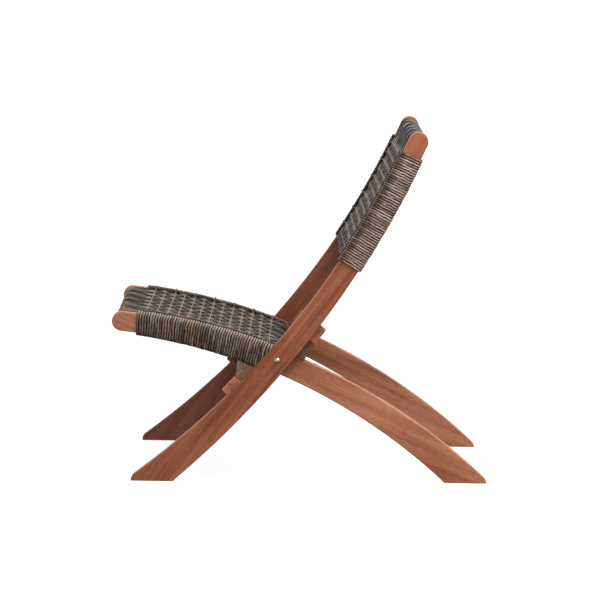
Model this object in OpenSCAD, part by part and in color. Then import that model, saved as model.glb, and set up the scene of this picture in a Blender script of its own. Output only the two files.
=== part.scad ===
// Folding armchair: two crossed frames of curved hardwood boards with a woven seat and backrest.
// The back frame runs from the front feet to the top of the backrest, the seat frame from the front
// of the seat to the rear feet. They turn on two bolts, and two bars that meet four blocks hold
// them open. X is the width, the chair faces -Y, Z is up, and the floor is at Z = 0.

/* [Frame] */
// Width over the outer faces of the back frame's stiles
frame_w = 580; // [480:5:700]
// Thickness of every curved board
board_t = 24; // [20:1:30]
// Gap between a stile and the seat rail beside it
side_gap = 6; // [5.5:0.5:10]
// Height of the pivot bolts above the floor
pivot_h = 283; // [270:0.5:300]
// Chamfer on the long edges of the boards
edge_ease = 2; // [1:0.5:4]

/* [Stiles] */
// Lean of a stile where it crosses the pivot, in degrees above level
stile_lean = 50; // [48:0.2:52]
// Width of a stile at the pivot
stile_w = 54; // [50:0.2:58]
// Radius of a stile's rounded back edge
stile_back_r = 2188; // [2100:2:2300]
// Radius of a stile's hollow front edge
stile_front_r = 1974; // [1900:1:2020]
// Length along a stile from the pivot to the centre of its rounded top
stile_reach = 596.5; // [585:0.5:615]
// Radius of the blunted toe of a front foot
stile_toe_r = 15; // [10:1:20]
// Height of that toe's centre above the floor
stile_toe_up = 3; // [0:1:6]

/* [Seat rails] */
// Slope of a seat rail where it crosses the pivot, falling to the rear, in degrees
rail_slope = 21.2; // [20:0.2:22]
// Width of a seat rail at the pivot
rail_w = 52.2; // [50:0.2:56]
// Radius of a seat rail's rounded top edge
rail_top_r = 1443; // [1400:1:1500]
// Radius of a seat rail's hollow underside
rail_under_r = 1327; // [1290:1:1360]
// Length along a seat rail from the pivot to the centre of its rounded front
rail_reach = 367.5; // [350:0.5:390]
// Angle by which each edge of a board opens from its mid line towards the foot, in degrees
board_flare = 0.82; // [0.6:0.02:1]
// Depth of the pivot bolts below a seat rail's top edge
pivot_depth = 21; // [20:0.5:23]
// Radius of the blunted toe of a rear foot
rail_toe_r = 31; // [24:1:36]
// Depth of that toe's centre below the floor
rail_toe_down = 8; // [0:1:10]

/* [Crossrails] */
// Radius of the rounded edges of the four woven-over crossrails
crossrail_r = 14; // [12:0.5:15]
// Distance between the centres of a crossrail's two rounded edges
crossrail_drop = 10; // [8:1:12]
// Distance of the end crossrails inside the centres of the boards' rounded ends
crossrail_inset = 4; // [3:0.5:10]
// Distance along a stile from the pivot to the backrest's bottom crossrail
back_bottom_s = 279; // [273:1:292]

/* [Weave] */
// Thickness of the woven panels
weave_t = 5; // [4:0.5:6]
// How far a panel stands proud of its boards
weave_rise = 1; // [0.5:0.5:2]
// Length over which a strand across a panel passes over or under the strands along it
weft_run = 31; // [24:0.5:36]
// Distance between the strands across the backrest
back_weft_pitch = 23; // [20:0.1:26]
// Distance between the strands across the seat
seat_weft_pitch = 24.2; // [20:0.1:26]
// Distance from the backrest's bottom crossrail to the first strand across
back_weft_from = 14; // [14:1:24]
// Distance from the seat's rear crossrail to the first strand across
seat_weft_from = 25; // [24:1:40]
// Depth of the dips that the strands across leave in a panel
dip_depth = 2; // [1:0.1:2.4]
// Radius of the bottom of those dips
dip_r = 18; // [12:1:24]
// Thickness of the strand wound round the boards
wrap_t = 4.5; // [3:0.5:5]
// How far the winding bulges beyond the boards' narrow edges
wrap_edge = 6; // [5:0.5:7]
// Start of the winding on a stile, from the pivot
back_wrap_from = 273; // [265:1:292]
// End of the winding on a stile, short of the centre of its rounded top
back_wrap_short = 35.5; // [33:0.5:90]
// Start of the winding on a seat rail, from the pivot
seat_wrap_from = 24; // [23:1:34]
// End of the winding on a seat rail, short of the centre of its rounded front
seat_wrap_short = 34.5; // [30:0.5:80]

/* [Stops] */
// Distance from the pivot to the middle of each front block, along a stile
front_block_s = 118.5; // [115:0.5:123]
// Distance from the pivot to the middle of each rear block, along a stile
rear_block_s = 100; // [97:0.5:105]
// Length of a stop block along the stile
block_l = 44; // [40:1:46]
// Width of a stop block across the stile
block_w = 34; // [30:1:35]
// Thickness of a stop block
block_t = 24; // [20:1:26]
// Distance of the blocks' outer edges from the stile's mid line
block_edge = 44.5; // [43:0.5:47]
// Length of a stop bar's outer face along the stile
bar_nose = 25; // [20:1:28]
// Change of a stop bar's outer face along that length
bar_taper = 2; // [0:0.5:4]
// Clearance between a stop bar's end and the stile beside it
bar_end_gap = 1.5; // [1:0.5:3]
// Gap left between a stop bar and its blocks when the chair stands open
stop_gap = 0.3; // [0.2:0.1:0.5]
// Chamfer on the edges of the blocks and bars
block_ease = 1.5; // [0.5:0.5:2.5]

/* [Fasteners] */
// Diameter of the pivot bolts
bolt_d = 8; // [6:1:9]
// Diameter of a pivot bolt's domed head
bolt_head_d = 15; // [12:1:18]
// Height of the domed head
bolt_head_h = 5; // [4:0.5:7]
// Width across the corners of the head's six-sided socket
bolt_socket = 5; // [4:0.5:6]
// Radial clearance of the bolt where the stile turns on it
bolt_fit = 0.05; // [0.02:0.01:0.1]
// Outer diameter of the washer in the side gap
washer_d = 22; // [18:1:28]
// Play of that washer in the side gap
washer_play = 0.3; // [0.2:0.05:0.5]
// Outer diameter of the threaded insert in the rear crossrail's end
insert_d = 12; // [11:0.5:13]
// Length of the threaded insert
insert_l = 25; // [22:1:32]
// Diameter of the dowels that join crossrails, bars and boards
dowel_d = 8; // [6:1:8]
// Length of a dowel inside a board
dowel_in_board = 13; // [10:1:15]
// Length of a dowel inside a crossrail or bar
dowel_in_rail = 18; // [15:1:24]
// Distance between the two dowels at an end of a crossrail
dowel_gap = 13; // [11:0.5:14]
// Diameter of the wood screws that hold the blocks
screw_d = 4.5; // [3.5:0.5:5.5]
// Diameter of the screws' countersunk heads
screw_head_d = 9; // [8:0.5:10]
// Length of the screws
screw_l = 38; // [32:1:42]

/* [Hidden] */

// Facets of the boards' long arcs, and of small round parts
arc_fn = 720;
round_fn = 64;
// Overshoot of cutting shapes, and half the length of lines that cut across a board
over = 1;
reach = 240;
// Play round parts that are fixed to each other, and extra depth of blind holes
snug = 0.1;
hole_fit = 0.05;
hole_deep = 0.5;
// How far a rounded end stands beyond the edges it joins, so that the surfaces cross cleanly
proud = 0.06;

wood = [0.62, 0.33, 0.22];
dark_wood = [0.5, 0.27, 0.18];
pale_wood = [0.8, 0.68, 0.5];
cane = [0.36, 0.31, 0.28];
brass = [0.78, 0.7, 0.48];
steel = [0.6, 0.6, 0.62];
nylon = [0.85, 0.84, 0.8];

// Faces across the width, on the +X side
stile_out = frame_w / 2;
stile_in = stile_out - board_t;
rail_out = stile_in - side_gap;
rail_in = rail_out - board_t;

// Depth of a crossrail's woven edge below the face of the weave that lies on it
weave_depth = weave_t + crossrail_r;

// A board is [tangent angle at the pivot, width there, offset of its mid line from the pivot
// towards its hollow side, radius of its rounded edge, radius of its hollow edge].
// Stations s along it grow towards the sitter's end, and n across it grows to the hollow side
stile = [stile_lean, stile_w, 0, stile_back_r, stile_front_r];
rail = [180 - rail_slope, rail_w, rail_w / 2 - pivot_depth, rail_top_r, rail_under_r];

function polar(r, a) = [r * cos(a), r * sin(a)];
function across(b) = b[0] + 90;
function round_r(b) = b[3];
function hollow_r(b) = b[4];
function mid_r(b) = (b[3] + b[4]) / 2;
function round_centre(b) = polar(b[2], across(b)) + polar(b[3] - b[1] / 2, across(b) + board_flare);
function hollow_centre(b) = polar(b[2], across(b)) + polar(b[4] + b[1] / 2, across(b) - board_flare);
function mid_centre(b) = polar(b[2] + mid_r(b), across(b));

// Direction of the mid line at station s, and the point n across it
function heading(b, s) = b[0] + s / mid_r(b) * 180 / PI;
function at(b, s, n) = mid_centre(b) + polar(n - mid_r(b), heading(b, s) + 90);

// Where the line across the board at station s meets the circle of centre c and radius r
function meets(b, s, c, r) =
    let (d = c - at(b, s, 0), k = d * polar(1, heading(b, s) + 90))
    k - sqrt(k * k - (d * d - r * r));
function round_edge(b, s) = meets(b, s, round_centre(b), round_r(b));
function hollow_edge(b, s) = meets(b, s, hollow_centre(b), hollow_r(b));

// Middle and half width of a board at station s, for its rounded end
function end_centre(b, s) = at(b, s, (round_edge(b, s) + hollow_edge(b, s)) / 2);
function end_r(b, s) = (hollow_edge(b, s) - round_edge(b, s)) / 2;

// Toe circles touch the outer edge of a foot; v is a height in the pivot's frame
function on_circle(c, r, v) = [c[0] + sqrt(r * r - (v - c[1]) * (v - c[1])), v];
stile_toe = on_circle(hollow_centre(stile), hollow_r(stile) + stile_toe_r, stile_toe_up - pivot_h);
rail_toe = on_circle(round_centre(rail), round_r(rail) - rail_toe_r, -rail_toe_down - pivot_h);

// The origin lies midway between the seat's front and the rear toes
rail_toe_reach = sqrt(rail_toe_r * rail_toe_r - rail_toe_down * rail_toe_down);
seat_front_y = end_centre(rail, rail_reach)[0] - end_r(rail, rail_reach);
mid_y = (seat_front_y + rail_toe[0] + rail_toe_reach) / 2;

// A crossrail is [board, station, n of its woven edge's centre, side its drop lies on,
// half its length, depths of its dowels below the woven edge's centre]
back_top_s = stile_reach - crossrail_inset;
seat_front_s = rail_reach - crossrail_inset;
dowel_pair = [(crossrail_drop - dowel_gap) / 2, (crossrail_drop + dowel_gap) / 2];
rear_dowel = [pivot_depth + weave_rise - weave_depth + insert_d / 2 + dowel_d / 2 + 2];
back_top = [stile, back_top_s, hollow_edge(stile, back_top_s) + weave_rise - weave_depth, -1,
    stile_in, dowel_pair];
back_bottom = [stile, back_bottom_s, hollow_edge(stile, back_bottom_s) + weave_rise - weave_depth,
    -1, stile_in, dowel_pair];
seat_front = [rail, seat_front_s, round_edge(rail, seat_front_s) - weave_rise + weave_depth, 1,
    rail_in, dowel_pair];
seat_rear = [rail, 0, round_edge(rail, 0) - weave_rise + weave_depth, 1, rail_in, rear_dowel];

// Widths of the woven panels between the wound boards
back_panel = stile_in - wrap_t - 2 * snug;
seat_panel = rail_in - wrap_t - 2 * snug;

// Outlines of a block and of the two bars, in the frame of the block each bar meets
block_low = block_edge - block_w;
stop_x = block_l / 2 + stop_gap;
block_shape = [[-block_l / 2, block_low], [block_l / 2, block_low], [block_l / 2, block_edge],
    [-block_l / 2, block_edge]];
bar_half = stile_in - bar_end_gap;
// The front bar's nose ends square to the rail above it
nose = [stop_x + bar_nose, block_edge - bar_taper];
rail_square = heading(rail, 75) - 90 - heading(stile, -front_block_s);
front_bar_shape = [[stop_x, block_low], [stop_x + 3 * block_l, block_low], nose + polar(60, rail_square),
    nose, [stop_x, block_edge]];
rear_bar_shape = [[-stop_x, -block_low], [-stop_x - 1.6 * block_l, -block_low],
    [-stop_x - 2.4 * bar_nose, -block_edge - 2 * bar_taper], [-stop_x, -block_edge]];
// Stations of the dowels between the rails and each bar
front_bar_s = [36, 60];
rear_bar_s = [-30, -47];

// Puts the pivot's frame on the floor; the drawing plane stands upright with its z along X
module standing() {
    translate([0, -mid_y, pivot_h]) children();
}
module upright(x) {
    translate([x, 0, 0]) rotate([90, 0, 90]) children();
}
module slab(x0, x1) {
    upright(x0) linear_extrude(x1 - x0) children();
}
module both_sides() {
    children();
    mirror([1, 0, 0]) children();
}
// The sitter's left is +X, and the right side is its mirror image
module on_side(left) {
    if (left) children();
    else mirror([1, 0, 0]) children();
}
module at_station(b, s, n = 0) {
    translate(at(b, s, n)) rotate(heading(b, s)) children();
}
module peg(r, from, to) {
    translate([0, 0, from]) cylinder(r = r, h = to - from, $fn = round_fn);
}

// Area of the drawing plane between two stations, and a large disc in it
module band(b, s0, s1) {
    polygon([at(b, s0, -reach), at(b, s1, -reach), at(b, s1, reach), at(b, s0, reach)]);
}
module disc(c, r) {
    translate(c) circle(r, $fn = arc_fn);
}
module board_area(b, grow) {
    difference() {
        disc(round_centre(b), round_r(b) + grow);
        disc(hollow_centre(b), hollow_r(b) - grow);
    }
}

// Cylinder with chamfered rims, and the cutter that leaves a chamfered hollow edge
module eased_disc(c, r, fn) {
    e = edge_ease;
    translate(c) rotate_extrude($fn = fn)
        polygon([[0, 0], [r - e, 0], [r, e], [r, board_t - e], [r - e, board_t], [0, board_t]]);
}
module hollow_cutter(c, r) {
    e = edge_ease;
    translate(c) rotate_extrude($fn = arc_fn)
        polygon([[0, -over], [r + e + over, -over], [r, e], [r, board_t - e],
            [r + e + over, board_t + over], [0, board_t + over]]);
}

// What lies beyond the line from a foot's edge, of centre c and radius r, through its toe's centre
module beyond_toe(c, r, toe) {
    out = sign(toe[0]) * [reach, 0];
    along = 60 * (toe - c) / norm(toe - c) * (r > norm(toe - c) ? -1 : 1);
    edge = c + r * (toe - c) / norm(toe - c);
    polygon([edge - along, toe + along, toe + along + out, edge - along + out]);
}

// One curved board, lying flat with its inner face at z = 0
module board(b, s_end, edge_c, edge_r, toe, toe_r) {
    difference() {
        union() {
            difference() {
                intersection() {
                    eased_disc(round_centre(b), round_r(b), arc_fn);
                    linear_extrude(board_t) difference() {
                        band(b, -2 * pivot_h, s_end);
                        beyond_toe(edge_c, edge_r, toe);
                    }
                }
                hollow_cutter(hollow_centre(b), hollow_r(b));
            }
            eased_disc(end_centre(b, s_end), end_r(b, s_end) + proud, 2 * round_fn);
            eased_disc(toe, toe_r + proud, 2 * round_fn);
        }
        translate([-4 * reach, -pivot_h - 2 * reach, -over])
            cube([8 * reach, 2 * reach, board_t + 2 * over]);
    }
}

// Pegs at a crossrail's dowels, and pegs at the block screws
module dowel_pegs(c, r, from, to) {
    for (depth = c[5]) at_station(c[0], c[1], c[2] + c[3] * depth) peg(r, from, to);
}
module at_block(front, end) {
    at_station(stile, front ? -front_block_s : rear_block_s)
        translate([end * block_l / 4, (front ? 1 : -1) * (block_edge - block_w * 0.6)]) children();
}

module stile_board(left) {
    color(wood) standing() on_side(left) upright(stile_in) difference() {
        board(stile, stile_reach, hollow_centre(stile), hollow_r(stile), stile_toe, stile_toe_r);
        peg(bolt_d / 2 + bolt_fit, -over, board_t + over);
        for (c = [back_top, back_bottom])
            dowel_pegs(c, dowel_d / 2 + hole_fit, -over, dowel_in_board + hole_deep);
        for (front = [true, false], end = [-1, 1])
            at_block(front, end) peg(screw_d / 2 + hole_fit, -over, screw_l - block_t + hole_deep);
    }
}

// Pegs square to a rail's top edge (up) or its underside, at height from..to beyond that edge
module bar_pegs(up, r, from, to) {
    edge = up ? -1 : 1;
    for (s = up ? rear_bar_s : front_bar_s)
        at_station(rail, s, up ? round_edge(rail, s) : hollow_edge(rail, s))
            translate([0, edge * from, board_t / 2]) rotate([-90 * edge, 0, 0])
                cylinder(r = r, h = to - from, $fn = round_fn);
}

module seat_rail(left) {
    r = dowel_d / 2 + hole_fit;
    color(wood) standing() on_side(left) upright(rail_in) difference() {
        board(rail, rail_reach, round_centre(rail), round_r(rail), rail_toe, rail_toe_r);
        peg(bolt_d / 2 + hole_fit, -over, board_t + over);
        for (c = [seat_front, seat_rear])
            dowel_pegs(c, r, -over, dowel_in_board + hole_deep);
        for (up = [true, false]) bar_pegs(up, r, -dowel_in_board - hole_deep, over);
    }
}

// Section of a crossrail grown by some amount, and the crossrail itself
module section(c, grow) {
    r = crossrail_r + grow;
    at_station(c[0], c[1], c[2]) {
        circle(r, $fn = 2 * round_fn);
        translate([0, c[3] * crossrail_drop]) circle(r, $fn = 2 * round_fn);
        translate([0, c[3] * crossrail_drop / 2]) square([2 * r, crossrail_drop], center = true);
    }
}
module crossrail(c) {
    color(dark_wood) standing() difference() {
        slab(-c[4], c[4]) section(c, 0);
        both_sides() upright(c[4])
            dowel_pegs(c, dowel_d / 2 + hole_fit, -dowel_in_rail - hole_deep, over);
    }
}
module rear_crossrail() {
    color(dark_wood) difference() {
        crossrail(seat_rear);
        standing() both_sides() upright(rail_in) peg(insert_d / 2 + hole_fit, -insert_l - 2, over);
    }
}

// Dips in a panel's face where a strand across passes over it, and in its back where the strand
// passes under it. They change places from one strand across to the next
module dips(first, last, from, pitch, half) {
    b = first[0];
    up = -first[3];
    count = floor((last[1] - first[1] - from) / pitch);
    groups = ceil(half / weft_run);
    for (g = [-groups : groups], below = [0, 1])
        let (x0 = max((g - 0.5) * weft_run, -half - over), x1 = min((g + 0.5) * weft_run, half + over))
            if (x1 > x0) slab(x0, x1) for (k = [1 - (abs(g) + below) % 2 : 2 : count - 1])
                let (s = first[1] + from + k * pitch,
                    edge = up > 0 ? hollow_edge(b, s) : round_edge(b, s),
                    deep = below * weave_t + (2 * below - 1) * (dip_r - dip_depth))
                    at_station(b, s, edge + up * (weave_rise - deep)) circle(dip_r, $fn = 2 * round_fn);
}

// A woven panel: a sheet lying on two crossrails, closed round each of them
module weave(c, r, b, first, last, from, pitch, half, first_half, last_half) {
    color(cane) standing() difference() {
        union() {
            difference() {
                slab(-half, half) intersection() {
                    difference() {
                        disc(c, r + weave_t);
                        disc(c, r);
                    }
                    band(b, first[1], last[1]);
                }
                dips(first, last, from, pitch, half);
            }
            slab(-first_half, first_half) section(first, weave_t);
            slab(-last_half, last_half) section(last, weave_t);
        }
        slab(-stile_in, stile_in) section(first, snug);
        slab(-stile_in, stile_in) section(last, snug);
    }
}
module back_weave() {
    weave(hollow_centre(stile), stile_front_r - weave_rise, stile, back_bottom, back_top,
        back_weft_from, back_weft_pitch, back_panel, back_panel, stile_in - snug);
}
module seat_weave() {
    weave(round_centre(rail), rail_top_r + weave_rise - weave_t, rail, seat_rear, seat_front,
        seat_weft_from, seat_weft_pitch, seat_panel, rail_in - snug, rail_in - snug);
}

// The winding round a board, as a closed sleeve
module sleeve(b, x_in, s0, s1) {
    difference() {
        slab(x_in - wrap_t, x_in + board_t + wrap_t) intersection() {
            board_area(b, wrap_edge);
            band(b, s0, s1);
        }
        slab(x_in - snug, x_in + board_t + snug) intersection() {
            board_area(b, snug);
            band(b, s0 - over, s1 + over);
        }
    }
}
module back_wrap(left) {
    color(cane) standing() on_side(left) difference() {
        sleeve(stile, stile_in, back_wrap_from, stile_reach - back_wrap_short);
        slab(-stile_in, stile_in) section(back_bottom, snug);
    }
}
module seat_wrap(left) {
    color(cane) standing() on_side(left) difference() {
        sleeve(rail, rail_in, seat_wrap_from, rail_reach - seat_wrap_short);
        upright(rail_in) bar_pegs(false, dowel_d / 2 + snug, -over, wrap_edge + over);
    }
}

// An outline with its corners cut off, and what bevels the edges of its two ends. The plain
// corners and edges are those that lie against a rail or inside it
module cut_corners(shape, plain) {
    count = len(shape);
    difference() {
        polygon(shape);
        for (i = [0 : count - 1]) if (len(search(i, plain)) == 0)
            let (p = shape[i], q = shape[(i + 1) % count], o = shape[(i + count - 1) % count],
                d = (p - q) / norm(p - q) + (p - o) / norm(p - o))
                translate(p) rotate(atan2(d[1], d[0])) square(block_ease * sqrt(2), center = true);
    }
}
module end_bevels(shape, h, plain) {
    count = len(shape);
    side = block_ease * sqrt(2);
    for (i = [0 : count - 1], z = [0, h]) if (len(search(i, plain)) == 0)
        let (p = shape[i], q = shape[(i + 1) % count], m = (p + q) / 2, d = q - p)
            translate([m[0], m[1], z]) rotate(atan2(d[1], d[0])) rotate([45, 0, 0])
                cube([norm(d) + side, side, side], center = true);
}
module stop_block(left, front) {
    shape = [for (p = block_shape) front ? p : -p];
    station = front ? -front_block_s : rear_block_s;
    color(dark_wood) standing() on_side(left) upright(stile_in - block_t) difference() {
        linear_extrude(block_t) at_station(stile, station) cut_corners(shape, []);
        at_station(stile, station) end_bevels(shape, block_t, []);
        for (end = [-1, 1]) at_block(front, end) screw(hole_fit, over);
    }
}

// A countersunk screw along z, with its head's face at z = 0; grow makes its hole
module screw(grow, above) {
    head = screw_head_d / 2 + grow;
    shank = screw_d / 2 + grow;
    rotate_extrude($fn = round_fn)
        polygon([[0, -above], [head, -above], [head, 0], [shank, head - shank],
            [shank, screw_l - screw_d], [0, screw_l]]);
}
module block_screws() {
    slot = screw_head_d / 2;
    color(brass) standing() both_sides() for (front = [true, false], end = [-1, 1])
        upright(stile_in - block_t) at_block(front, end) difference() {
            screw(0, 0);
            for (turn = [0, 90]) rotate(turn) cube([slot, 1, 3], center = true);
        }
}

module bar_holes(up) {
    both_sides() upright(rail_in)
        bar_pegs(up, dowel_d / 2 + hole_fit, -over, dowel_in_rail + wrap_edge + hole_deep);
}
module front_stop_bar() {
    color(dark_wood) standing() difference() {
        upright(-bar_half) difference() {
            linear_extrude(2 * bar_half) intersection() {
                at_station(stile, -front_block_s) cut_corners(front_bar_shape, [1, 2]);
                disc(hollow_centre(rail), rail_under_r - wrap_edge - snug);
            }
            at_station(stile, -front_block_s) end_bevels(front_bar_shape, 2 * bar_half, [1, 2]);
        }
        bar_holes(false);
    }
}
module rear_stop_bar() {
    color(dark_wood) standing() difference() {
        upright(-bar_half) difference() {
            linear_extrude(2 * bar_half) difference() {
                at_station(stile, rear_block_s) cut_corners(rear_bar_shape, [1]);
                disc(round_centre(rail), rail_top_r + snug);
            }
            at_station(stile, rear_block_s) end_bevels(rear_bar_shape, 2 * bar_half, [1]);
        }
        bar_holes(true);
    }
}

module bar_dowels() {
    color(pale_wood) standing() both_sides() upright(rail_in) for (up = [true, false])
        bar_pegs(up, dowel_d / 2, -dowel_in_board, dowel_in_rail + wrap_edge);
}
module dowels(crossrails) {
    color(pale_wood) standing() both_sides() for (c = crossrails)
        upright(c[4]) dowel_pegs(c, dowel_d / 2, -dowel_in_rail, dowel_in_board);
}

module pivot_bolts() {
    dome_r = (bolt_head_h * bolt_head_h + bolt_head_d * bolt_head_d / 4) / (2 * bolt_head_h);
    color(brass) standing() both_sides() upright(stile_out) difference() {
        union() {
            intersection() {
                translate([0, 0, bolt_head_h - dome_r]) sphere(dome_r, $fn = round_fn);
                peg(bolt_head_d, 0, 2 * bolt_head_h);
            }
            peg(bolt_d / 2, rail_in - insert_l + 4 - stile_out, over);
        }
        translate([0, 0, bolt_head_h / 2]) cylinder(d = bolt_socket, h = bolt_head_h, $fn = 6);
    }
}
module pivot_inserts() {
    color(brass) standing() both_sides() upright(rail_in) difference() {
        peg(insert_d / 2, -insert_l, 0);
        peg(bolt_d / 2 + hole_fit, -insert_l - over, over);
    }
}
module pivot_washers() {
    color(nylon) standing() both_sides() upright(rail_out) difference() {
        peg(washer_d / 2, 0, side_gap - washer_play);
        peg(bolt_d / 2 + hole_fit, -over, side_gap + over);
    }
}

stile_board(true);  // stile_left
stile_board(false);  // stile_right
crossrail(back_top);  // back_top_rail
crossrail(back_bottom);  // back_bottom_rail
back_weave();
back_wrap(true);  // back_wrap_left
back_wrap(false);  // back_wrap_right
stop_block(true, true);  // front_block_left
stop_block(false, true);  // front_block_right
stop_block(true, false);  // rear_block_left
stop_block(false, false);  // rear_block_right
block_screws();
dowels([back_top, back_bottom]);  // back_dowels
seat_rail(true);  // seat_rail_left
seat_rail(false);  // seat_rail_right
crossrail(seat_front);  // seat_front_rail
rear_crossrail();  // seat_rear_rail
seat_weave();
seat_wrap(true);  // seat_wrap_left
seat_wrap(false);  // seat_wrap_right
front_stop_bar();
rear_stop_bar();
bar_dowels();
dowels([seat_front, seat_rear]);  // seat_dowels
pivot_bolts();
pivot_inserts();
pivot_washers();
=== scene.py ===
"""Folding armchair of curved oiled hardwood boards, with a seat and backrest of woven round cane.

The boards, bars, blocks and fasteners are the CAD solids with wood, brass and nylon on them. The woven
panels and the windings round the boards are made here strand by strand, over the same arcs as in
the part's source, in its pivot frame: millimetres, y to the rear and z up from the pivot.
"""

import math

import bpy
import numpy as np
from mathutils import Matrix, Vector


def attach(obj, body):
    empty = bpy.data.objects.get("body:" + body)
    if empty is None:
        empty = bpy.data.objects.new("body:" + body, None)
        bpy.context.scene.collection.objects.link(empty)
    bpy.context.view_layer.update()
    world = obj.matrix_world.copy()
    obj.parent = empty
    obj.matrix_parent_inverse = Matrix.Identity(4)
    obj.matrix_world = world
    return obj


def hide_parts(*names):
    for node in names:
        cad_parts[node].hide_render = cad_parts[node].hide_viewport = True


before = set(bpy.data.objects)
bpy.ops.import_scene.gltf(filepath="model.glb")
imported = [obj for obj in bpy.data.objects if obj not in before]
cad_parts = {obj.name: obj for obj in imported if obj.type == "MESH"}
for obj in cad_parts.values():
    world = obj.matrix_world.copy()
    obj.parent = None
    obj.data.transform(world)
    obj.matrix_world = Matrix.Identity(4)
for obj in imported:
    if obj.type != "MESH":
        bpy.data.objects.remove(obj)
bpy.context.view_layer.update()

# The pivot in the row frame, and the values of the part's source that the strands follow, in mm;
# the flare, which turns the centres of a board's two arcs apart, is in degrees
PIVOT = np.array([-53.7907, 283.0])
STILE_IN, STILE_OUT = 266.0, 290.0
RAIL_IN, RAIL_OUT = 236.0, 260.0
FLARE = 0.82
CROSSRAIL_R, CROSSRAIL_DROP = 14.0, 10.0
WEAVE_T, WEAVE_RISE, WRAP_T, WRAP_EDGE = 5.0, 1.0, 4.5, 6.0
# Turns of the winding lie this far apart; a weft passes over or under five warps at a time
PITCH = 5.9
WARPS_PER_RUN, WEFT_RUN = 5, 31.0
# Half the width and half the height of each kind of strand, in metres
WOUND, WARP, RETURN_WARP, WEFT = (0.0032, 0.0024), (0.0031, 0.0022), (0.0031, 0.0013), (0.0016, 0.0014)
# Corners of a strand's section, wound and woven, and how far apart streaks start on neighbours, in m
WOUND_SIDES, WOVEN_SIDES, STREAK_SHIFT = 8, 6, 0.37


# ---------------------------------------------------------------- boards


def polar(radius, degrees):
    """Points at that distance and angle from the origin of the drawing plane."""
    a = np.radians(degrees)
    return np.stack([radius * np.cos(a), radius * np.sin(a)], -1)


class Board:
    """A curved board between two arcs. Station s runs along its mid line, an arc too, from the
    pivot towards the sitter's end, and n runs across it to the hollow side."""

    def __init__(self, lean, width, offset, round_r, hollow_r):
        self.lean, self.mid_r = lean, (round_r + hollow_r) / 2
        self.centre = polar(offset + self.mid_r, lean + 90)
        pivot_side = polar(offset, lean + 90)
        self.arcs = {
            "round": (pivot_side + polar(round_r - width / 2, lean + 90 + FLARE), round_r),
            "hollow": (pivot_side + polar(hollow_r + width / 2, lean + 90 - FLARE), hollow_r),
        }

    def heading(self, s):
        """Angle of the mid line at station s: its lean plus the arc's turn."""
        return self.lean + np.degrees(np.asarray(s) / self.mid_r)

    def at(self, s, n):
        """The point n across the board at station s, on the radius through the arc's centre."""
        return self.centre + polar(np.asarray(n) - self.mid_r, self.heading(s) + 90)

    def edge(self, side, s):
        """How far across the edge lies at s: where the radius through s cuts the edge's circle."""
        centre, r = self.arcs[side]
        d = centre - self.at(s, 0 * np.asarray(s))
        k = (d * polar(1.0, self.heading(s) + 90)).sum(-1)
        return k - np.sqrt(k * k - ((d * d).sum(-1) - r * r))


stile = Board(50.0, 54.0, 0.0, 2188.0, 1974.0)
rail = Board(158.8, 52.2, 5.1, 1443.0, 1327.0)


def place(x, yz):
    """Points of the drawing plane at width x, in metres in the row frame."""
    yz = (yz + PIVOT) / 1000
    return np.stack([np.broadcast_to(np.asarray(x) / 1000, yz.shape[:-1]), yz[..., 0], yz[..., 1]], -1)


# ---------------------------------------------------------------- strands


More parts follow.
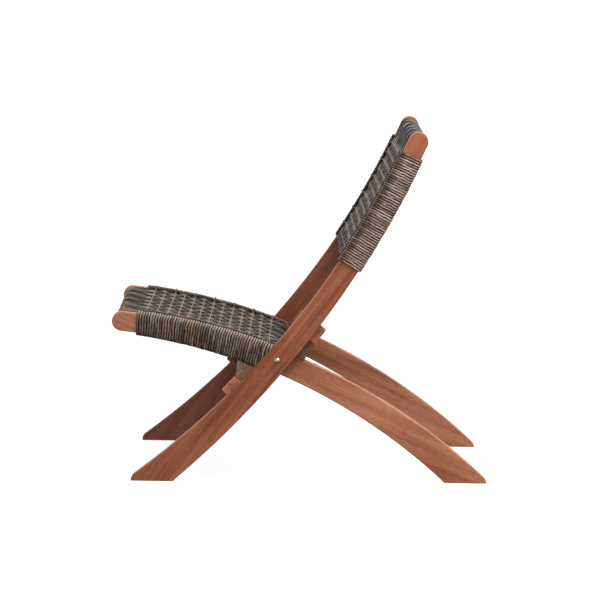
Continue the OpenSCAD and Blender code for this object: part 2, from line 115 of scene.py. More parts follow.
def strands(name, centre, outward, wide, high, sides, closed, shade, painted_light_and_tone=0.0):
    """A mesh of many strands at once. Each is an ellipse, wide along the surface and high off it,
    carried along its own row of points: point + wide cos(a) side + high sin(a) outward. Shade is one
    number for each strand, and the last argument, which may change along it, lightens or darkens it
    as changes of tone and as painted highlight and painted shade."""
    count, length = centre.shape[:2]
    if closed:
        along = np.roll(centre, -1, 1) - np.roll(centre, 1, 1)
    else:
        along = np.gradient(centre, axis=1)
    along /= np.linalg.norm(along, axis=-1, keepdims=True)
    side = np.cross(along, outward)
    side /= np.linalg.norm(side, axis=-1, keepdims=True)
    up = np.cross(side, along)
    a = 2 * np.pi * (np.arange(sides) + 0.5) / sides
    wide, high = (np.broadcast_to(v, (count, length))[..., None, None] for v in (wide, high))
    ring = centre[:, :, None] + wide * np.cos(a)[:, None] * side[:, :, None]
    ring = ring + high * np.sin(a)[:, None] * up[:, :, None]

    spans = length if closed else length - 1
    i, m, k = np.meshgrid(np.arange(count), np.arange(spans), np.arange(sides), indexing="ij")
    m2, k2 = (m + 1) % length, (k + 1) % sides
    vertex = lambda p, q, r: (p * length + q) * sides + r
    quads = np.stack([vertex(i, m, k), vertex(i, m2, k), vertex(i, m2, k2), vertex(i, m, k2)], -1)
    corners = quads.reshape(-1)
    sizes = np.full(quads.size // 4, 4)

    steps = np.linalg.norm(np.roll(centre, -1, 1) - centre, axis=-1)
    run = np.concatenate([np.zeros((count, 1)), np.cumsum(steps, 1)], 1)
    run = run + np.arange(count)[:, None] * STREAK_SHIFT
    u = np.stack([run[i, m], run[i, m + 1], run[i, m + 1], run[i, m]], -1)
    v = (np.stack([k, k, k + 1, k + 1], -1) + 0.5) / sides
    uv = np.stack([u, v], -1).reshape(-1, 2)
    if not closed:
        first = vertex(np.arange(count)[:, None], 0, np.arange(sides))
        last = vertex(np.arange(count)[:, None], length - 1, np.arange(sides)[::-1])
        corners = np.concatenate([corners, first.reshape(-1), last.reshape(-1)])
        sizes = np.concatenate([sizes, np.full(2 * count, sides)])
        uv = np.concatenate([uv, np.zeros((2 * count * sides, 2))])

    mesh = bpy.data.meshes.new(name)
    mesh.vertices.add(ring.size // 3)
    mesh.vertices.foreach_set("co", ring.reshape(-1).astype(np.float32))
    mesh.loops.add(len(corners))
    mesh.loops.foreach_set("vertex_index", corners.astype(np.int32))
    mesh.polygons.add(len(sizes))
    mesh.polygons.foreach_set("loop_start", (np.cumsum(sizes) - sizes).astype(np.int32))
    mesh.polygons.foreach_set("loop_total", sizes.astype(np.int32))
    mesh.polygons.foreach_set("use_smooth", np.ones(len(sizes), bool))
    mesh.update(calc_edges=True)
    mesh.uv_layers.new(name="strand").data.foreach_set("uv", uv.reshape(-1).astype(np.float32))
    for key, value in (("tone", np.asarray(shade, float)[:, None]), ("painted_light_and_tone", np.asarray(painted_light_and_tone, float))):
        value = np.broadcast_to(np.broadcast_to(value, (count, length))[..., None], (count, length, sides))
        values = mesh.attributes.new(key, "FLOAT", "POINT").data
        values.foreach_set("value", value.astype(np.float32).reshape(-1))
    piece = bpy.data.objects.new(name, mesh)
    bpy.context.scene.collection.objects.link(piece)
    return piece


def finish_piece(piece, material, body, *nodes):
    """Gives a piece its material, its CAD body and the CAD solids that it stands for."""
    piece.data.materials.append(material)
    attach(piece, body)
    if nodes:
        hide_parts(*nodes)


def around_board(count_wide, count_thick, count_corner):
    """The way round a board's section as four columns: how far along from n low to n high, the
    same across its thickness, and the outward normal in both. Sides are straight, corners arcs."""
    rows = []
    for turn in range(4):
        a = math.radians(90 * turn)
        out = np.array([math.cos(a), math.sin(a)])
        wide_side = turn % 2 == 1
        for f in np.linspace(0, 1, (count_wide if wide_side else count_thick) + 2)[1:-1]:
            share = [1, f], [1 - f, 1], [0, 1 - f], [f, 0]
            rows.append([*share[turn], *out])
        corner = ([1, 1], [0, 1], [0, 0], [1, 0])[turn]
        for b in np.linspace(0, 90, count_corner):
            c = math.radians(90 * turn + b)
            rows.append([*corner, math.cos(c), math.sin(c)])
    return np.array(rows).T


def winding(name, board, side, x_in, x_out, sitter, first, last, lean, hook, painted_highlight_and_shade, seed):
    """Turns of strand side by side round a board: rounded rectangles round its section, one pitch
    apart. Each leans along the board by a share of n, wavers as a sum of sines with random sizes,
    and is drawn back by the hook where it turns over the edge that faces the sitter. The four values
    before the seed are painted highlight and painted shade, lightening or darkening the turn on that
    edge, just below it, under it and at the far edge."""
    rng = np.random.default_rng(seed)
    strand_t, corner = 1000 * WOUND[1], 5.0
    hook_share, sway, jitter, swell_by = 0.15, 0.3, 0.06, 0.2
    turns = int(round((last - first) / PITCH))
    s = first + (last - first) * (np.arange(turns) + 0.5) / turns
    high_off, wide_off = WRAP_EDGE - strand_t, WRAP_T - strand_t
    low = board.edge("round", s) - high_off
    high = board.edge("hollow", s) + high_off
    fn, fx, cn, cx = around_board(9, 3, 5)
    n = low[:, None] + corner + fn * (high - low - 2 * corner)[:, None] + corner * cn
    x0, x1 = x_in - wide_off, x_out + wide_off
    x = x0 + corner + fx * (x1 - x0 - 2 * corner) + corner * cx
    across = (n - low[:, None]) / (high - low)[:, None]
    waver = rng.normal(0, 1, (turns, 4))
    phase = 2 * np.pi * across
    wave = sway * (
        waver[:, :1] * np.sin(phase / 2)
        + waver[:, 1:2] * np.sin(phase)
        + waver[:, 2:3] * np.sin(1.7 * phase + waver[:, 3:])
    )
    wave += sway * np.sin(2.6 * phase + 0.5 * np.arange(turns)[:, None] + waver[:, 3:])
    # The wave dies down towards both edges, where the board holds the strand
    wave *= 0.25 + 0.75 * np.sin(np.pi * across)
    below = across if sitter == "round" else 1 - across
    station = s[:, None] + lean * n + wave + rng.normal(0, jitter, (turns, 1))
    station = station - hook * np.clip(1 - below / hook_share, 0, 1) ** 1.5
    swell = swell_by * rng.normal(0, 1, (turns, 1)) + swell_by * np.sin(2.3 * phase + 3 * waver[:, 1:2])
    yz = board.at(station, n + swell * cn)
    centre = place(np.broadcast_to(x + swell * cx, n.shape), yz)
    facing = np.radians(board.heading(station) + 90)
    outward = np.stack([np.broadcast_to(cx, n.shape), cn * np.cos(facing), cn * np.sin(facing)], -1)
    flip = np.array([side, 1.0, 1.0])
    # Painted highlight and painted shade across the turn, from the edge that faces the sitter to the far edge
    painted_light_and_tone = np.interp(below, (0, 0.1, 0.32, 1), painted_highlight_and_shade)
    shade = rng.uniform(0, 1, turns)
    return strands(name, centre * flip, outward * flip, *WOUND, WOUND_SIDES, True, shade, painted_light_and_tone)


def loop_round(board, s, n, ahead, face):
    """One end of a warp: over the crossrail's woven edge, down its far side, under it and up again.
    Arcs round its two centres, joined by straights; ahead and face are signs of the way out of
    the panel along s and of the panel's face across n. Returns points and normals."""
    t = polar(1.0, board.heading(s)) * ahead
    o = polar(1.0, board.heading(s) + 90) * face
    c1 = board.at(s, n)
    c2 = c1 - CROSSRAIL_DROP * o
    r = CROSSRAIL_R + WEAVE_T / 2
    angles = np.concatenate([np.arange(80, -1, -10), np.arange(-8, -181, -12), [-184, -200, -214]])
    angles = np.radians(angles)
    # The first arc and the short last one are round the upper centre, the one between round the lower
    from_c1 = np.concatenate([np.ones(9, bool), np.zeros(15, bool), np.ones(3, bool)])
    out = np.cos(angles)[:, None] * t + np.sin(angles)[:, None] * o
    return np.where(from_c1[:, None], c1, c2) + r * out, out


def panel(name, board, face, edge, s_low, s_high, half, columns, sag, tilt, seed):
    """The warps of a woven panel, their return behind it, and its wefts. A warp goes round both
    crossrails, which lie at s low and s high, and along the panel, rising and falling as a cosine
    that turns over at every weft; five neighbours move together and the next five the other way.
    A weft crosses at each column as a square wave with soft steps, tilted to one side. Half is
    half the panel's width, and sag how far its middle hangs."""
    rng = np.random.default_rng(seed)
    rise_by, gather_by, hang_power = 1.6, 0.12, 0.8
    warp_step, fade_over, loose_over = 4, 24, 45
    warps = int(WARPS_PER_RUN * half / WEFT_RUN) * 2 + 1
    x = (np.arange(warps) - (warps - 1) / 2) * (2 * half / warps)
    group = 1 - np.round(x / WEFT_RUN) % 2 * 2
    depth = WEAVE_RISE - WEAVE_T / 2

    drop = face * (WEAVE_RISE - WEAVE_T - CROSSRAIL_R)
    low_loop, low_out = loop_round(board, s_low, float(edge(s_low)) + drop, -1, face)
    high_loop, high_out = loop_round(board, s_high, float(edge(s_high)) + drop, 1, face)
    s = np.linspace(s_low, s_high, int((s_high - s_low) / warp_step))
    turn = np.pi * np.interp(s, columns, np.arange(len(columns)))
    fade = np.clip((s - s_low) / fade_over, 0, 1) * np.clip((s_high - s) / fade_over, 0, 1)
    # The rise dies out within 28 mm beyond the first and the last weft
    fade = fade * np.clip((s - columns[0] + 28) / 20, 0, 1)
    fade = fade * np.clip((columns[-1] + 28 - s) / 20, 0, 1)
    rise = rise_by * group[:, None] * np.cos(turn) * fade
    belly = np.sin(np.pi * (s - s_low) / (s_high - s_low)) ** hang_power
    hang = sag * np.outer(1 - (x / half) ** 2, belly)
    n = edge(s) + face * (depth + rise - hang)
    flat = board.at(np.broadcast_to(s, n.shape), n)
    out = polar(1.0, board.heading(s) + 90) * face
    ends = lambda a: np.broadcast_to(a, (warps, *a.shape))
    yz = np.concatenate([ends(low_loop[::-1]), flat, ends(high_loop)], 1)
    normal = np.concatenate([low_out[::-1], out, high_out])
    # Five warps draw together where they pass a weft, and leave a dark gap to the next five
    first, last = len(low_loop), len(low_loop) + len(s)
    gather, loose = np.zeros(yz.shape[1]), np.ones(yz.shape[1])
    gather[first:last] = np.cos(turn) ** 2 * fade
    # Near the crossrails no weft holds them, and they ride over each other
    loose[first:last] = np.clip(1 - (s - s_low) / loose_over, 0, 1)
    loose[first:last] += np.clip(1 - (s_high - s) / loose_over, 0, 1)
    # Roughly how far along its way each point of a warp lies, in mm
    way = np.arange(yz.shape[1]) * 3.4
    start = 0.4 * np.arange(warps)[:, None] + rng.normal(0, 0.8, (warps, 3))
    yz = yz + (0.8 * loose * np.sin(way / 9 + start[:, :1]))[..., None] * normal
    sway = rng.normal(0, 0.25, (warps, 1)) + (0.3 + 1.2 * loose) * np.sin(way / 15 + start[:, 1:2])
    # Near the crossrails each warp's tone changes slowly along its way
    painted_light_and_tone = loose * (0.28 * np.sin(way / 16 + start[:, 2:]) - 0.06)
    # Where a warp rises over a weft it is lighter, a painted highlight on its crown, and where it dips it is
    # darker, painted shade in the hollow
    lift = group[:, None] * np.cos(turn) * fade
    painted_light_and_tone[:, first:last] += 0.3 * lift * np.abs(lift) ** 1.5 - 0.08
    inside = x - np.round(x / WEFT_RUN) * WEFT_RUN
    centre = place(x[:, None] + sway - gather_by * inside[:, None] * gather, yz)
    outward = np.broadcast_to(np.pad(normal, ((0, 0), (1, 0))), centre.shape)
    shade = rng.uniform(-0.6, 1.6, warps)
    long_way = strands(name + "_warps", centre, outward, *WARP, WOVEN_SIDES, False, shade, painted_light_and_tone)

    # Each warp comes back behind the panel, flat and straight, half a warp aside, and closes the gaps
    behind, half_warp = 5.6, WEFT_RUN / (2 * WARPS_PER_RUN)
    n = edge(s) - face * behind - sag * face * np.outer(1 - (x / half) ** 2, belly)
    yz = board.at(np.broadcast_to(s, n.shape), n)
    centre = place(x[:, None] + half_warp + sway[:, first:last] / 2, yz)
    outward = np.broadcast_to(np.pad(-out, ((0, 0), (1, 0))), centre.shape)
    shade = rng.uniform(-0.6, 1.6, warps - 1)
    # The returns behind the panel are a little darker all along
    return_way = strands(
        name + "_return_warps", centre[:-1], outward[:-1], *RETURN_WARP, WOVEN_SIDES, False, shade, -0.1)

    past_side, weft_step = 24, 2.2
    reach = half + past_side
    xs = np.linspace(-reach, reach, int(2 * reach / weft_step))
    softly = -np.tanh(6 * np.cos(np.pi * np.clip(xs, 2 - half, half - 2) / WEFT_RUN))
    number = np.arange(len(columns))
    over = np.where(number % 2 == 0, 1, -1)[:, None] * softly
    station = columns[:, None] + tilt * (xs / half) + 0.3 * np.sin(xs / 40 + 2.1 * number[:, None])
    inside = np.clip((half - 3 - np.abs(xs)) / 10, 0, 1)
    # Where a weft ends on top it climbs over the border and the winding, and is tucked in behind
    beyond = np.abs(xs) - half
    climb = np.interp(beyond, (-12, -6, 16, 20, past_side), (0, 9.2, 9.0, 7.0, 2.0))
    height = depth + 2.2 * over * inside + (1 - inside) * np.where(over > 0, climb, -2.0)
    hang = sag * (1 - np.clip(np.abs(xs) / half, 0, 1) ** 2)
    hang = hang * np.sin(np.pi * np.clip((station - s_low) / (s_high - s_low), 0, 1)) ** hang_power
    n = edge(station) + face * (height - hang)
    centre = place(np.broadcast_to(xs, n.shape), board.at(station, n))
    a = np.radians(board.heading(station) + 90)
    outward = np.stack([0 * a, np.cos(a) * face, np.sin(a) * face], -1)
    # Past the panel's side, where the weft climbs over the border and is tucked in, it is darker
    painted_light_and_tone = -0.4 * np.clip((beyond + 10) / 8, 0, 1)
    shade = rng.uniform(0.7, 1, len(columns))
    cross = strands(name + "_wefts", centre, outward, *WEFT, WOVEN_SIDES, False, shade, painted_light_and_tone)
    return long_way, return_way, cross


def side_cord(name, board, face, edge, x, first, last, height, coil, thick):
    """Two plies laid round each other along the seam of panel and winding: two helices with the
    radius coil round the line of the seam, one turn every two pitches."""
    s = np.arange(first, last, 1.5)
    ply = np.array([0, np.pi])[:, None]
    a = 2 * np.pi * s / (2 * PITCH) + ply
    n = edge(s) + face * (height + coil * np.sin(a))
    centre = place(x + coil * np.cos(a), board.at(np.broadcast_to(s, a.shape), n))
    across = np.radians(board.heading(s) + 90)
    outward = np.stack([0 * s, np.cos(across) * face, np.sin(across) * face], -1)
    outward = np.broadcast_to(outward, centre.shape)
    return strands(name, centre, outward, thick, thick, WOVEN_SIDES, False, [0.55, 0.75])


# ---------------------------------------------------------------- materials


def linear(code):
    """An sRGB hex value as linear red, green, blue and alpha."""
    c = np.array([int(code[i : i + 2], 16) for i in (1, 3, 5)]) / 255
    c = np.where(c <= 0.04045, c / 12.92, ((c + 0.055) / 1.055) ** 2.4)
    return (*c.tolist(), 1.0)


def add(tree, kind, inputs=None, **settings):
    """Adds a node; its settings are set, and each input is linked to a socket or given a value."""
    node = tree.nodes.new(kind)
    for key, value in settings.items():
        setattr(node, key, value)
    add_to(tree, node, inputs or {})
    return node


def add_to(tree, node, inputs):
    """Links each named input of a node to a socket, or gives it a value."""
    for key, value in inputs.items():
        if isinstance(value, bpy.types.NodeSocket):
            tree.links.new(value, node.inputs[key])
        else:
            node.inputs[key].default_value = value


def surface(name):
    """A new material with its node tree emptied down to the shader and the output."""
    material = bpy.data.materials.new(name)
    material.use_nodes = True
    tree = material.node_tree
    tree.nodes.clear()
    shader = add(tree, "ShaderNodeBsdfPrincipled")
    add(tree, "ShaderNodeOutputMaterial", {"Surface": shader.outputs[0]})
    return material, tree, shader


def ramp(tree, factor, *stops):
    """Blends hex colours placed from 0 to 1."""
    node = add(tree, "ShaderNodeValToRGB", {"Fac": factor})
    elements = node.color_ramp.elements
    while len(elements) < len(stops):
        elements.new(0.5)
    for element, (position, code) in zip(elements, stops):
        element.position, element.color = position, linear(code)
    return node.outputs["Color"]


def noise(tree, vector, scale, detail, **inputs):
    """A noise pattern; its spots are about one over the scale across, in metres."""
    inputs = {"Vector": vector, "Scale": scale, "Detail": detail, **inputs}
    return add(tree, "ShaderNodeTexNoise", inputs).outputs[0]


def remap(tree, value, **inputs):
    """A value taken from one range to another, with its ends held."""
    names = {key.replace("_", " ").title(): limit for key, limit in inputs.items()}
    return add(tree, "ShaderNodeMapRange", {"Value": value, **names}).outputs[0]


def weighted(tree, base, *parts):
    """Adds patterns to a base, each times its weight."""
    for pattern, weight in parts:
        inputs = {0: pattern, 1: weight, 2: base}
        base = add(tree, "ShaderNodeMath", inputs, operation="MULTIPLY_ADD").outputs[0]
    return base


def blend(tree, share, colour, other, **settings):
    """Two colours mixed by a share of the second."""
    inputs = {0: share, 6: colour, 7: other}
    return add(tree, "ShaderNodeMix", inputs, data_type="RGBA", **settings).outputs[2]


def oiled_hardwood(name, turn, colours, shift, end_grain=0.0, tone_gradient=None):
    """Plain-sawn reddish hardwood, planed and oiled. Soft bands of tone 20 mm across run the length
    of the piece, over slow patches 110 mm across, with fibres 2 mm across and 160 mm long in them, a
    mottled figure of spots 3 by 17 mm, and dark pores 11 mm long, which make it look planed and dry
    and not waxy. The pores are really 0.2 mm wide, and drawn at 0.8 mm so that they show. Faces that
    look along X are end grain, where the fibres stand up, and greyer by the share given. The last
    argument, if given, names the axis, the two places on it between which the wood changes colour,
    and the colour it takes."""
    material, tree, shader = surface(name)
    spot = add(tree, "ShaderNodeTexCoord")
    inputs = {"Vector": spot.outputs["Object"], "Rotation": turn, "Location": shift}
    lie = add(tree, "ShaderNodeMapping", inputs)
    squeezed = lambda along: add(
        tree, "ShaderNodeMapping", {"Vector": lie.outputs[0], "Scale": (1, along, 1)}).outputs[0]
    bands = noise(tree, squeezed(0.06), 48.0, 2.0, Distortion=0.5)
    patches = noise(tree, squeezed(0.5), 9.0, 1.0)
    fibres = noise(tree, squeezed(0.012), 520.0, 3.0)
    pores = noise(tree, squeezed(0.07), 1250.0, 1.0)
    figure = noise(tree, squeezed(0.2), 300.0, 2.0)
    tone = weighted(tree, -0.06, (patches, 0.22), (figure, 0.2), (fibres, 0.3), (bands, 0.4))
    colour = ramp(tree, tone, *zip((0.36, 0.5, 0.64), colours))
    pits = remap(tree, pores, from_min=0.36, from_max=0.44)
    colour = blend(tree, remap(tree, pits, to_min=0.22, to_max=0.0), colour, linear("#2c130b"))
    facing = add(tree, "ShaderNodeSeparateXYZ", {0: spot.outputs["Normal"]}).outputs[0]
    facing = add(tree, "ShaderNodeMath", {0: facing}, operation="ABSOLUTE").outputs[0]
    end = remap(tree, facing, from_min=0.7, from_max=0.9, to_max=end_grain)
    colour = blend(tree, end, colour, linear("#674f43"))
    if tone_gradient:
        axis, start, stop, shade = tone_gradient
        along = add(tree, "ShaderNodeSeparateXYZ", {0: spot.outputs["Object"]}).outputs[axis]
        along = remap(tree, along, from_min=start, from_max=stop, to_max=0.45)
        colour = blend(tree, along, colour, linear(shade))
    height = weighted(tree, fibres, (pits, 0.5))
    relief = add(tree, "ShaderNodeBump", {"Height": height, "Strength": 0.2, "Distance": 0.0003})
    add_to(tree, shader, {
        "Base Color": colour,
        "Roughness": remap(tree, fibres, to_min=0.5, to_max=0.38),
        "Normal": relief.outputs[0],
        "Specular IOR Level": 0.25,
    })
    return material


def round_cane(name, colours, gloss, crown_from=0.5):
    """Round strand extruded in resin with run-in streaks of pigment, like peeled cane: each strand
    has its own tone, streaks about 36 mm long and flecks of 6 mm run along it, and its flanks, down
    in the valleys between the turns, are darkened with painted shade that makes every turn stand out.
    The painted shade is full where the height over the strand's middle, from 0 to 1, is crown_from or
    less, so that a value below 0 leaves it weaker. The tint drifts over the whole in patches some
    40 mm across, from brown to a cold grey."""
    material, tree, shader = surface(name)
    along = add(tree, "ShaderNodeUVMap", uv_map="strand")
    own = add(tree, "ShaderNodeAttribute", attribute_name="tone")
    split = add(tree, "ShaderNodeSeparateXYZ", {0: along.outputs[0]})
    spread = add(tree, "ShaderNodeMath", {0: own.outputs["Fac"], 1: 37.0}, operation="MULTIPLY")
    spot = add(tree, "ShaderNodeCombineXYZ", {0: split.outputs[0], 1: split.outputs[1], 2: spread.outputs[0]})
    long = add(tree, "ShaderNodeMapping", {"Vector": spot.outputs[0], "Scale": (28, 1.6, 1)})
    quick = add(tree, "ShaderNodeMapping", {"Vector": spot.outputs[0], "Scale": (160, 3.5, 1)})
    streaks = noise(tree, long.outputs[0], 1.0, 2.0)
    flecks = noise(tree, quick.outputs[0], 1.0, 2.0)
    # An attribute that lightens or darkens the strand: slow changes of tone, and painted highlight and
    # painted shade
    painted_light_and_tone_fac = add(tree, "ShaderNodeAttribute", attribute_name="painted_light_and_tone").outputs["Fac"]
    tone = weighted(tree, painted_light_and_tone_fac, (own.outputs["Fac"], 0.12), (flecks, 0.4), (streaks, 0.6))
    colour = ramp(tree, tone, *zip((0.36, 0.56, 0.76), colours))
    drift = noise(tree, add(tree, "ShaderNodeTexCoord").outputs["Object"], 26.0, 2.0)
    tint = ramp(tree, drift, (0.36, "#bd8b5c"), (0.48, "#a0958a"), (0.6, "#918894"))
    colour = blend(tree, 0.5, colour, tint, blend_type="SOFT_LIGHT")
    turn = add(tree, "ShaderNodeMath", {0: split.outputs[1], 1: 2 * math.pi}, operation="MULTIPLY")
    crown = add(tree, "ShaderNodeMath", {0: turn.outputs[0]}, operation="SINE")
    crown = add(tree, "ShaderNodeMath", {0: crown.outputs[0]}, operation="ABSOLUTE")
    # Painted shade: towards each strand's sides its colour is blended to near black, standing in for the
    # shade down in the valleys between strands
    limits = {"From Min": crown_from, "From Max": 0.97, "To Min": 1.0, "To Max": 0.0}
    painted_valley_shade = add(
        tree, "ShaderNodeMapRange", {"Value": crown.outputs[0], **limits}, interpolation_type="SMOOTHSTEP")
    colour = blend(tree, painted_valley_shade.outputs[0], colour, linear("#0f0a08"))
    relief = add(tree, "ShaderNodeBump", {"Height": flecks, "Strength": 0.3, "Distance": 0.0003})
    add_to(tree, shader, {
        "Base Color": colour,
        "Roughness": gloss,
        "Normal": relief.outputs[0],
        "Specular IOR Level": 0.2,
    })
    return material


def turned_brass(name, dull, bright):
    """Turned brass, dulled by age: a metal whose colour and gloss vary in faint smears 4 mm across,
    from dull to bright."""
    material, tree, shader = surface(name)
    spot = add(tree, "ShaderNodeTexCoord")
    smears = noise(tree, spot.outputs["Object"], 260.0, 2.0)
    colour = ramp(tree, smears, (0.35, dull), (0.65, bright))
    gloss = remap(tree, smears, to_min=0.14, to_max=0.34)
    add_to(tree, shader, {"Base Color": colour, "Roughness": gloss, "Metallic": 1.0})
    return material


def moulded_nylon(name):
    """Natural nylon, moulded: off-white and a little cloudy, with a low even sheen."""
    material, tree, shader = surface(name)
    spot = add(tree, "ShaderNodeTexCoord")
    cloud = noise(tree, spot.outputs["Object"], 120.0, 2.0)
    colour = ramp(tree, cloud, (0.3, "#b9b2a2"), (0.7, "#d5cfc1"))
    add_to(tree, shader, {"Base Color": colour, "Roughness": 0.45})
    return material


# ---------------------------------------------------------------- the cane

# The two windings use copies of one cane, the back's lighter than the seat's: the difference is painted
# light, for the stronger light that the back's turns catch
strand_seat = round_cane("resin_cane_seat_winding", ("#3c3029", "#6f6056", "#a08e81"), 0.38, 0.62)
strand_back = round_cane("resin_cane_back_winding_painted_light", ("#553f30", "#8f7b6f", "#c3aea2"), 0.38, 0.62)
warp_seat = round_cane("resin_cane_seat_warp", ("#15100c", "#3f362e", "#82776c"), 0.45, -0.2)
warp_back = round_cane("resin_cane_back_warp", ("#14100e", "#38302b", "#8f837c"), 0.45, -0.2)
weft_cane = round_cane("resin_cane_weft", ("#4a413b", "#796f67", "#9d938a"), 0.4, -0.4)
border_seat = round_cane("twisted_cane_seat_border", ("#2b231e", "#6b6057", "#a0958b"), 0.42, -1.0)
border_back = round_cane("twisted_cane_back_border", ("#1d1815", "#463e38", "#857b74"), 0.42, -1.0)
strand_seam = round_cane("twisted_brown_seam_cord", ("#24120a", "#4a2a17", "#6d452c"), 0.5)

for suffix, side in (("left", 1), ("right", -1)):
    piece = winding("back_winding_" + suffix, stile, side, STILE_IN, STILE_OUT, "hollow", 273, 561,
                    -0.02, 1.5, (-0.2, -0.17, 0.06, 0.05), 11 + side)
    finish_piece(piece, strand_back, "back_frame", "back_wrap_" + suffix)
    piece = winding("seat_winding_" + suffix, rail, side, RAIL_IN, RAIL_OUT, "round", 13, 333,
                    -0.1, 2.8, (0.2, 0.12, 0.02, -0.07), 21 + side)
    finish_piece(piece, strand_seat, "seat_frame", "seat_wrap_" + suffix)

back_edge = lambda s: stile.edge("hollow", s)
seat_edge = lambda s: rail.edge("round", s)
# Stations of the wefts; the back's are up to 3 mm lower in the middle than an even spacing gives
back_columns = 292 + 22.9 * np.arange(12) - 3 * np.sin(np.pi * np.arange(12) / 10)
seat_columns = 27 + 24.0 * np.arange(13)
back_warps, back_returns, back_wefts = panel(
    "back", stile, 1, back_edge, 279.0, 592.5, 261.3, back_columns, 3.0, 3.5, 31)
seat_warps, seat_returns, seat_wefts = panel(
    "seat", rail, -1, seat_edge, 0.0, 363.5, 231.3, seat_columns, 6.0, 2.5, 41)
for piece, body, material, node in (
    (back_warps, "back_frame", warp_back, "back_weave"),
    (back_returns, "back_frame", warp_back, None),
    (back_wefts, "back_frame", weft_cane, None),
    (seat_warps, "seat_frame", warp_seat, "seat_weave"),
    (seat_returns, "seat_frame", warp_seat, None),
    (seat_wefts, "seat_frame", weft_cane, None),
):
    finish_piece(piece, material, body, *([node] if node else []))

# Stations between which the cords at the panels' sides run. Below 0 the weave of the seat turns down
# round the rear crossrail and its cords don't: their ends stand free in the air, which is a fault
seat_cord_ends, back_cord_ends = (-20, 331), (277, 558)
# Of each cord: its materials, how far inside the winding it lies, its height over the board's edge
# and the radius of its helices, in mm, and half the thickness of a ply, in metres
for suffix, side in (("left", 1), ("right", -1)):
    for what, on_seat, on_back, inward, height, coil, thick in (
        ("border", border_seat, border_back, 4.0, 4.6, 2.1, 0.0019),
        ("seam", strand_seam, strand_seam, -1.5, 6.3, 0.5, 0.0008),
    ):
        x = side * (RAIL_IN - WRAP_T - inward)
        cord = side_cord(
            f"seat_{what}_cord_{suffix}", rail, -1, seat_edge, x, *seat_cord_ends, height, coil, thick)
        finish_piece(cord, on_seat, "seat_frame")
        x = side * (STILE_IN - WRAP_T - inward)
        cord = side_cord(
            f"back_{what}_cord_{suffix}", stile, 1, back_edge, x, *back_cord_ends, height, coil, thick)
        finish_piece(cord, on_back, "back_frame")

# ---------------------------------------------------------------- finishes on the CAD nodes

RED = ("#68301b", "#8e5034", "#a66746")
LIGHT = ("#7f442c", "#a4674a", "#b87e5c")
DEEP = ("#55281a", "#733e2b", "#89513c")
# Turns that bring the grain, which runs along Y in the pattern, to lie along each kind of board
stile_grain = (math.radians(-53.3), 0, 0)
rail_grain = (math.radians(23.5), 0, 0)
cross_grain = (0, 0, math.pi / 2)
# Towards the top the stiles are paler, and towards the front the rails are greyer: axis, from, to, colour
pale_top, grey_front = (2, 0.62, 0.8, "#b97658"), (1, -0.36, -0.46, "#8a5d50")
finishes = {}
for node, kind, grain, colours, shift, tone_gradient in (
    ("stile_left", "stile_left", stile_grain, RED, (0.3, 0.1, 0.2), pale_top),
    ("stile_right", "stile_right", stile_grain, DEEP, (1.3, 0.6, 0.7), pale_top),
    ("seat_rail_left", "rail_left", rail_grain, LIGHT, (2.1, 0.4, 0.9), grey_front),
    ("seat_rail_right", "rail_right", rail_grain, LIGHT, (0.8, 1.4, 1.9), grey_front),
):
    finishes[node] = oiled_hardwood("oiled_hardwood_" + kind, grain, colours, shift, tone_gradient=tone_gradient)
crossways = oiled_hardwood("oiled_hardwood_cross", cross_grain, RED, (0.5, 0.5, 0.5), 0.75)
blocks = oiled_hardwood("oiled_hardwood_block_left", rail_grain, LIGHT, (0.6, 1.1, 0.3))
# The blocks on the right, the far side, sit under the seat: their darker copy of the wood is painted shade
painted_shade_blocks = oiled_hardwood("oiled_hardwood_block_right_painted_shade", rail_grain, DEEP, (1.6, 0.1, 0.8))
BEECH = ("#9b7a58", "#b8966f", "#cdb08b")
pegs = oiled_hardwood("planed_beech_peg", cross_grain, BEECH, (0.1, 0.9, 0.4), 0.3)
brass = turned_brass("turned_brass", "#8d8160", "#d3c8a6")
nylon = moulded_nylon("moulded_nylon")
aged_brass = turned_brass("aged_brass_screw", "#3a2c1c", "#5f4a2e")
crossrails = ("back_top_rail", "back_bottom_rail", "seat_front_rail", "seat_rear_rail")
for node in (*crossrails, "front_stop_bar", "rear_stop_bar"):
    finishes[node] = crossways
for side, material in (("left", blocks), ("right", painted_shade_blocks)):
    finishes["front_block_" + side] = finishes["rear_block_" + side] = material
for node in ("back_dowels", "seat_dowels", "bar_dowels"):
    finishes[node] = pegs
for node in ("pivot_bolts", "pivot_inserts"):
    finishes[node] = brass
finishes["block_screws"] = aged_brass
finishes["pivot_washers"] = nylon
for node, material in finishes.items():
    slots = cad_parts[node].material_slots
    if not slots:
        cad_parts[node].data.materials.append(material)
    for one in slots:
        one.material = material

# ---------------------------------------------------------------- floor, light and camera

# The floor is so wide that its far edge doesn't show as a strip at the horizon
span = 200.0
corners = np.array([[-1, -1, 0], [1, -1, 0], [1, 1, 0], [-1, 1, 0]]) * span
floor_mesh = bpy.data.meshes.new("floor")
floor_mesh.from_pydata(corners.tolist(), [], [(0, 1, 2, 3)])
floor = bpy.data.objects.new("floor", floor_mesh)
bpy.context.scene.collection.objects.link(floor)
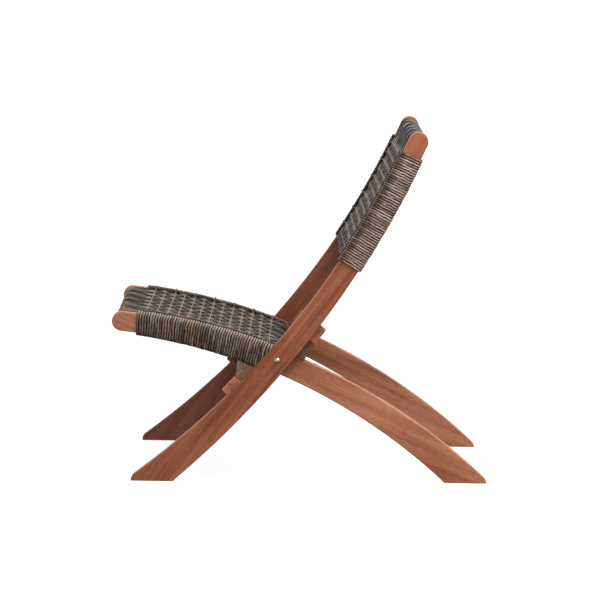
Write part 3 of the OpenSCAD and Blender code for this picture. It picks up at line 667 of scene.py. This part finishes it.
# Opal acrylic lit from behind, as on a table for cut-out pictures: it stays near white in the shadows
opal, tree, shader = surface("backlit_opal_acrylic")
cloud = noise(tree, add(tree, "ShaderNodeTexCoord").outputs["Object"], 3.0, 2.0)
add_to(tree, shader, {
    "Base Color": ramp(tree, cloud, (0.3, "#989898"), (0.7, "#9c9c9c")),
    "Roughness": 0.9,
    "Emission Color": (1.0, 1.0, 1.0, 1.0),
    "Emission Strength": 0.78,
})
floor_mesh.materials.append(opal)
floor.visible_diffuse = floor.visible_glossy = False

world = bpy.data.worlds.new("studio")
bpy.context.scene.world = world
world.use_nodes = True
sky = world.node_tree
# The surround is white above the horizon and falls off below it
way = add(sky, "ShaderNodeSeparateXYZ", {0: add(sky, "ShaderNodeTexCoord").outputs["Generated"]})
fall = remap(sky, way.outputs[2], from_min=-0.45, from_max=-0.01, to_min=0.2)
add_to(sky, sky.nodes["Background"], {"Color": (1.0, 1.0, 1.0, 1.0), "Strength": fall})
# Soft lamps: place and size in metres, power in watts
for place_at, size, power in (((1.6, 1.6, 4.0), 1.2, 140.0), ((4.5, -2.0, 2.0), 2.5, 26.0)):
    lamp = bpy.data.lights.new("softbox", "AREA")
    lamp.energy, lamp.size = power, size
    stand = bpy.data.objects.new("softbox", lamp)
    toward = np.array([0.0, 0.0, 0.4]) - np.array(place_at)
    stand.rotation_euler = Vector(toward.tolist()).to_track_quat("-Z", "Y").to_euler()
    stand.location = place_at
    bpy.context.scene.collection.objects.link(stand)

# The camera, fitted to the outlines of both sides of the chair in the photograph
yaw, pitch, roll = np.radians([0.2254, 7.0645, 0.921])
standpoint = (7.29643, -0.03149, 1.29188)
ahead = np.array([-np.cos(pitch) * np.cos(yaw), np.cos(pitch) * np.sin(yaw), -np.sin(pitch)])
level = np.array([np.sin(yaw), np.cos(yaw), 0.0])
above = np.cross(level, ahead)
right = np.cos(roll) * level + np.sin(roll) * above
top = np.cos(roll) * above - np.sin(roll) * level
lens = bpy.data.cameras.new("camera")
lens.lens, lens.sensor_width = 186.0, 36.0
lens.clip_end = 400
camera = bpy.data.objects.new("camera", lens)
bpy.context.scene.collection.objects.link(camera)
turned = np.eye(4)
turned[:3, 0], turned[:3, 1], turned[:3, 2], turned[:3, 3] = right, top, -ahead, standpoint
camera.matrix_world = Matrix(turned.tolist())
bpy.context.scene.camera = camera
bpy.context.scene.view_settings.view_transform = "Standard"
